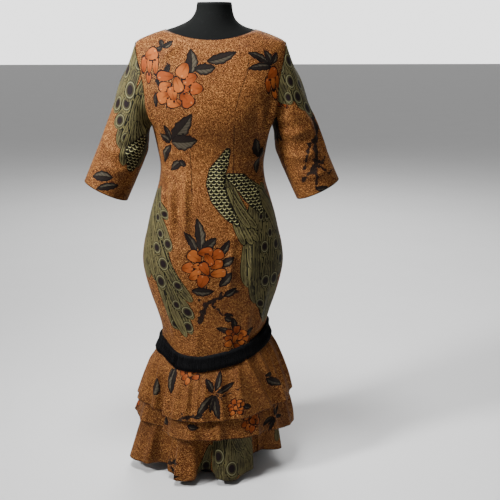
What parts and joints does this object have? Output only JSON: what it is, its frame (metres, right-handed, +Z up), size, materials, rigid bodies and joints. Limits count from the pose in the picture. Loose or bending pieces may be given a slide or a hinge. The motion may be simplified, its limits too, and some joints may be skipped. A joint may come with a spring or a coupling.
{
  "type": "wax print dress on a limbless dress form",
  "caption": "Fitted long wax print dress with three-quarter sleeves, a fringed knee seam and a layered flounce hem, standing on a black limbless dress form.",
  "frame": {"origin": "middle of the stand's flat underside, on the floor", "axes": "+Z up, -Y out of the dress's front, +X to the wearer's left"},
  "size_m": [0.744, 0.3999, 1.39],
  "materials": {
    "wax_print": "plain-weave cotton wax print, orange brown ground with flowers, leaves and peacocks",
    "black_fringe": "dense black brush fringe",
    "zip_tape": "brown woven zip with coil teeth",
    "zip_metal": "polished",
    "form_jersey": "fine black jersey cover",
    "stand_metal": "satin black"
  },
  "bodies": {
    "dress_and_form": {"dress_front": "wax_print", "dress_back_left": "wax_print", "dress_back_right": "wax_print", "sleeve_left": "wax_print", "sleeve_right": "wax_print", "flounce_top": "wax_print", "flounce_middle": "wax_print", "flounce_bottom": "wax_print", "knee_fringe": "black_fringe", "zip_chain": "zip_tape", "zip_slider": "zip_metal", "form_body": "form_jersey", "form_neck_plate": "form_jersey", "stand_pole": "stand_metal", "stand_base": "stand_metal"},
    "zip_pull_tab": {"zip_pull": "zip_metal"}
  },
  "joints": [
    {"name": "zip_pull_hinge", "type": "hinge", "parent": "dress_and_form", "child": "zip_pull_tab", "pos_m": [0, 0.09905, 1.29278], "axis": [1, 0, 0], "range_deg": [0, 150]}
  ]
}
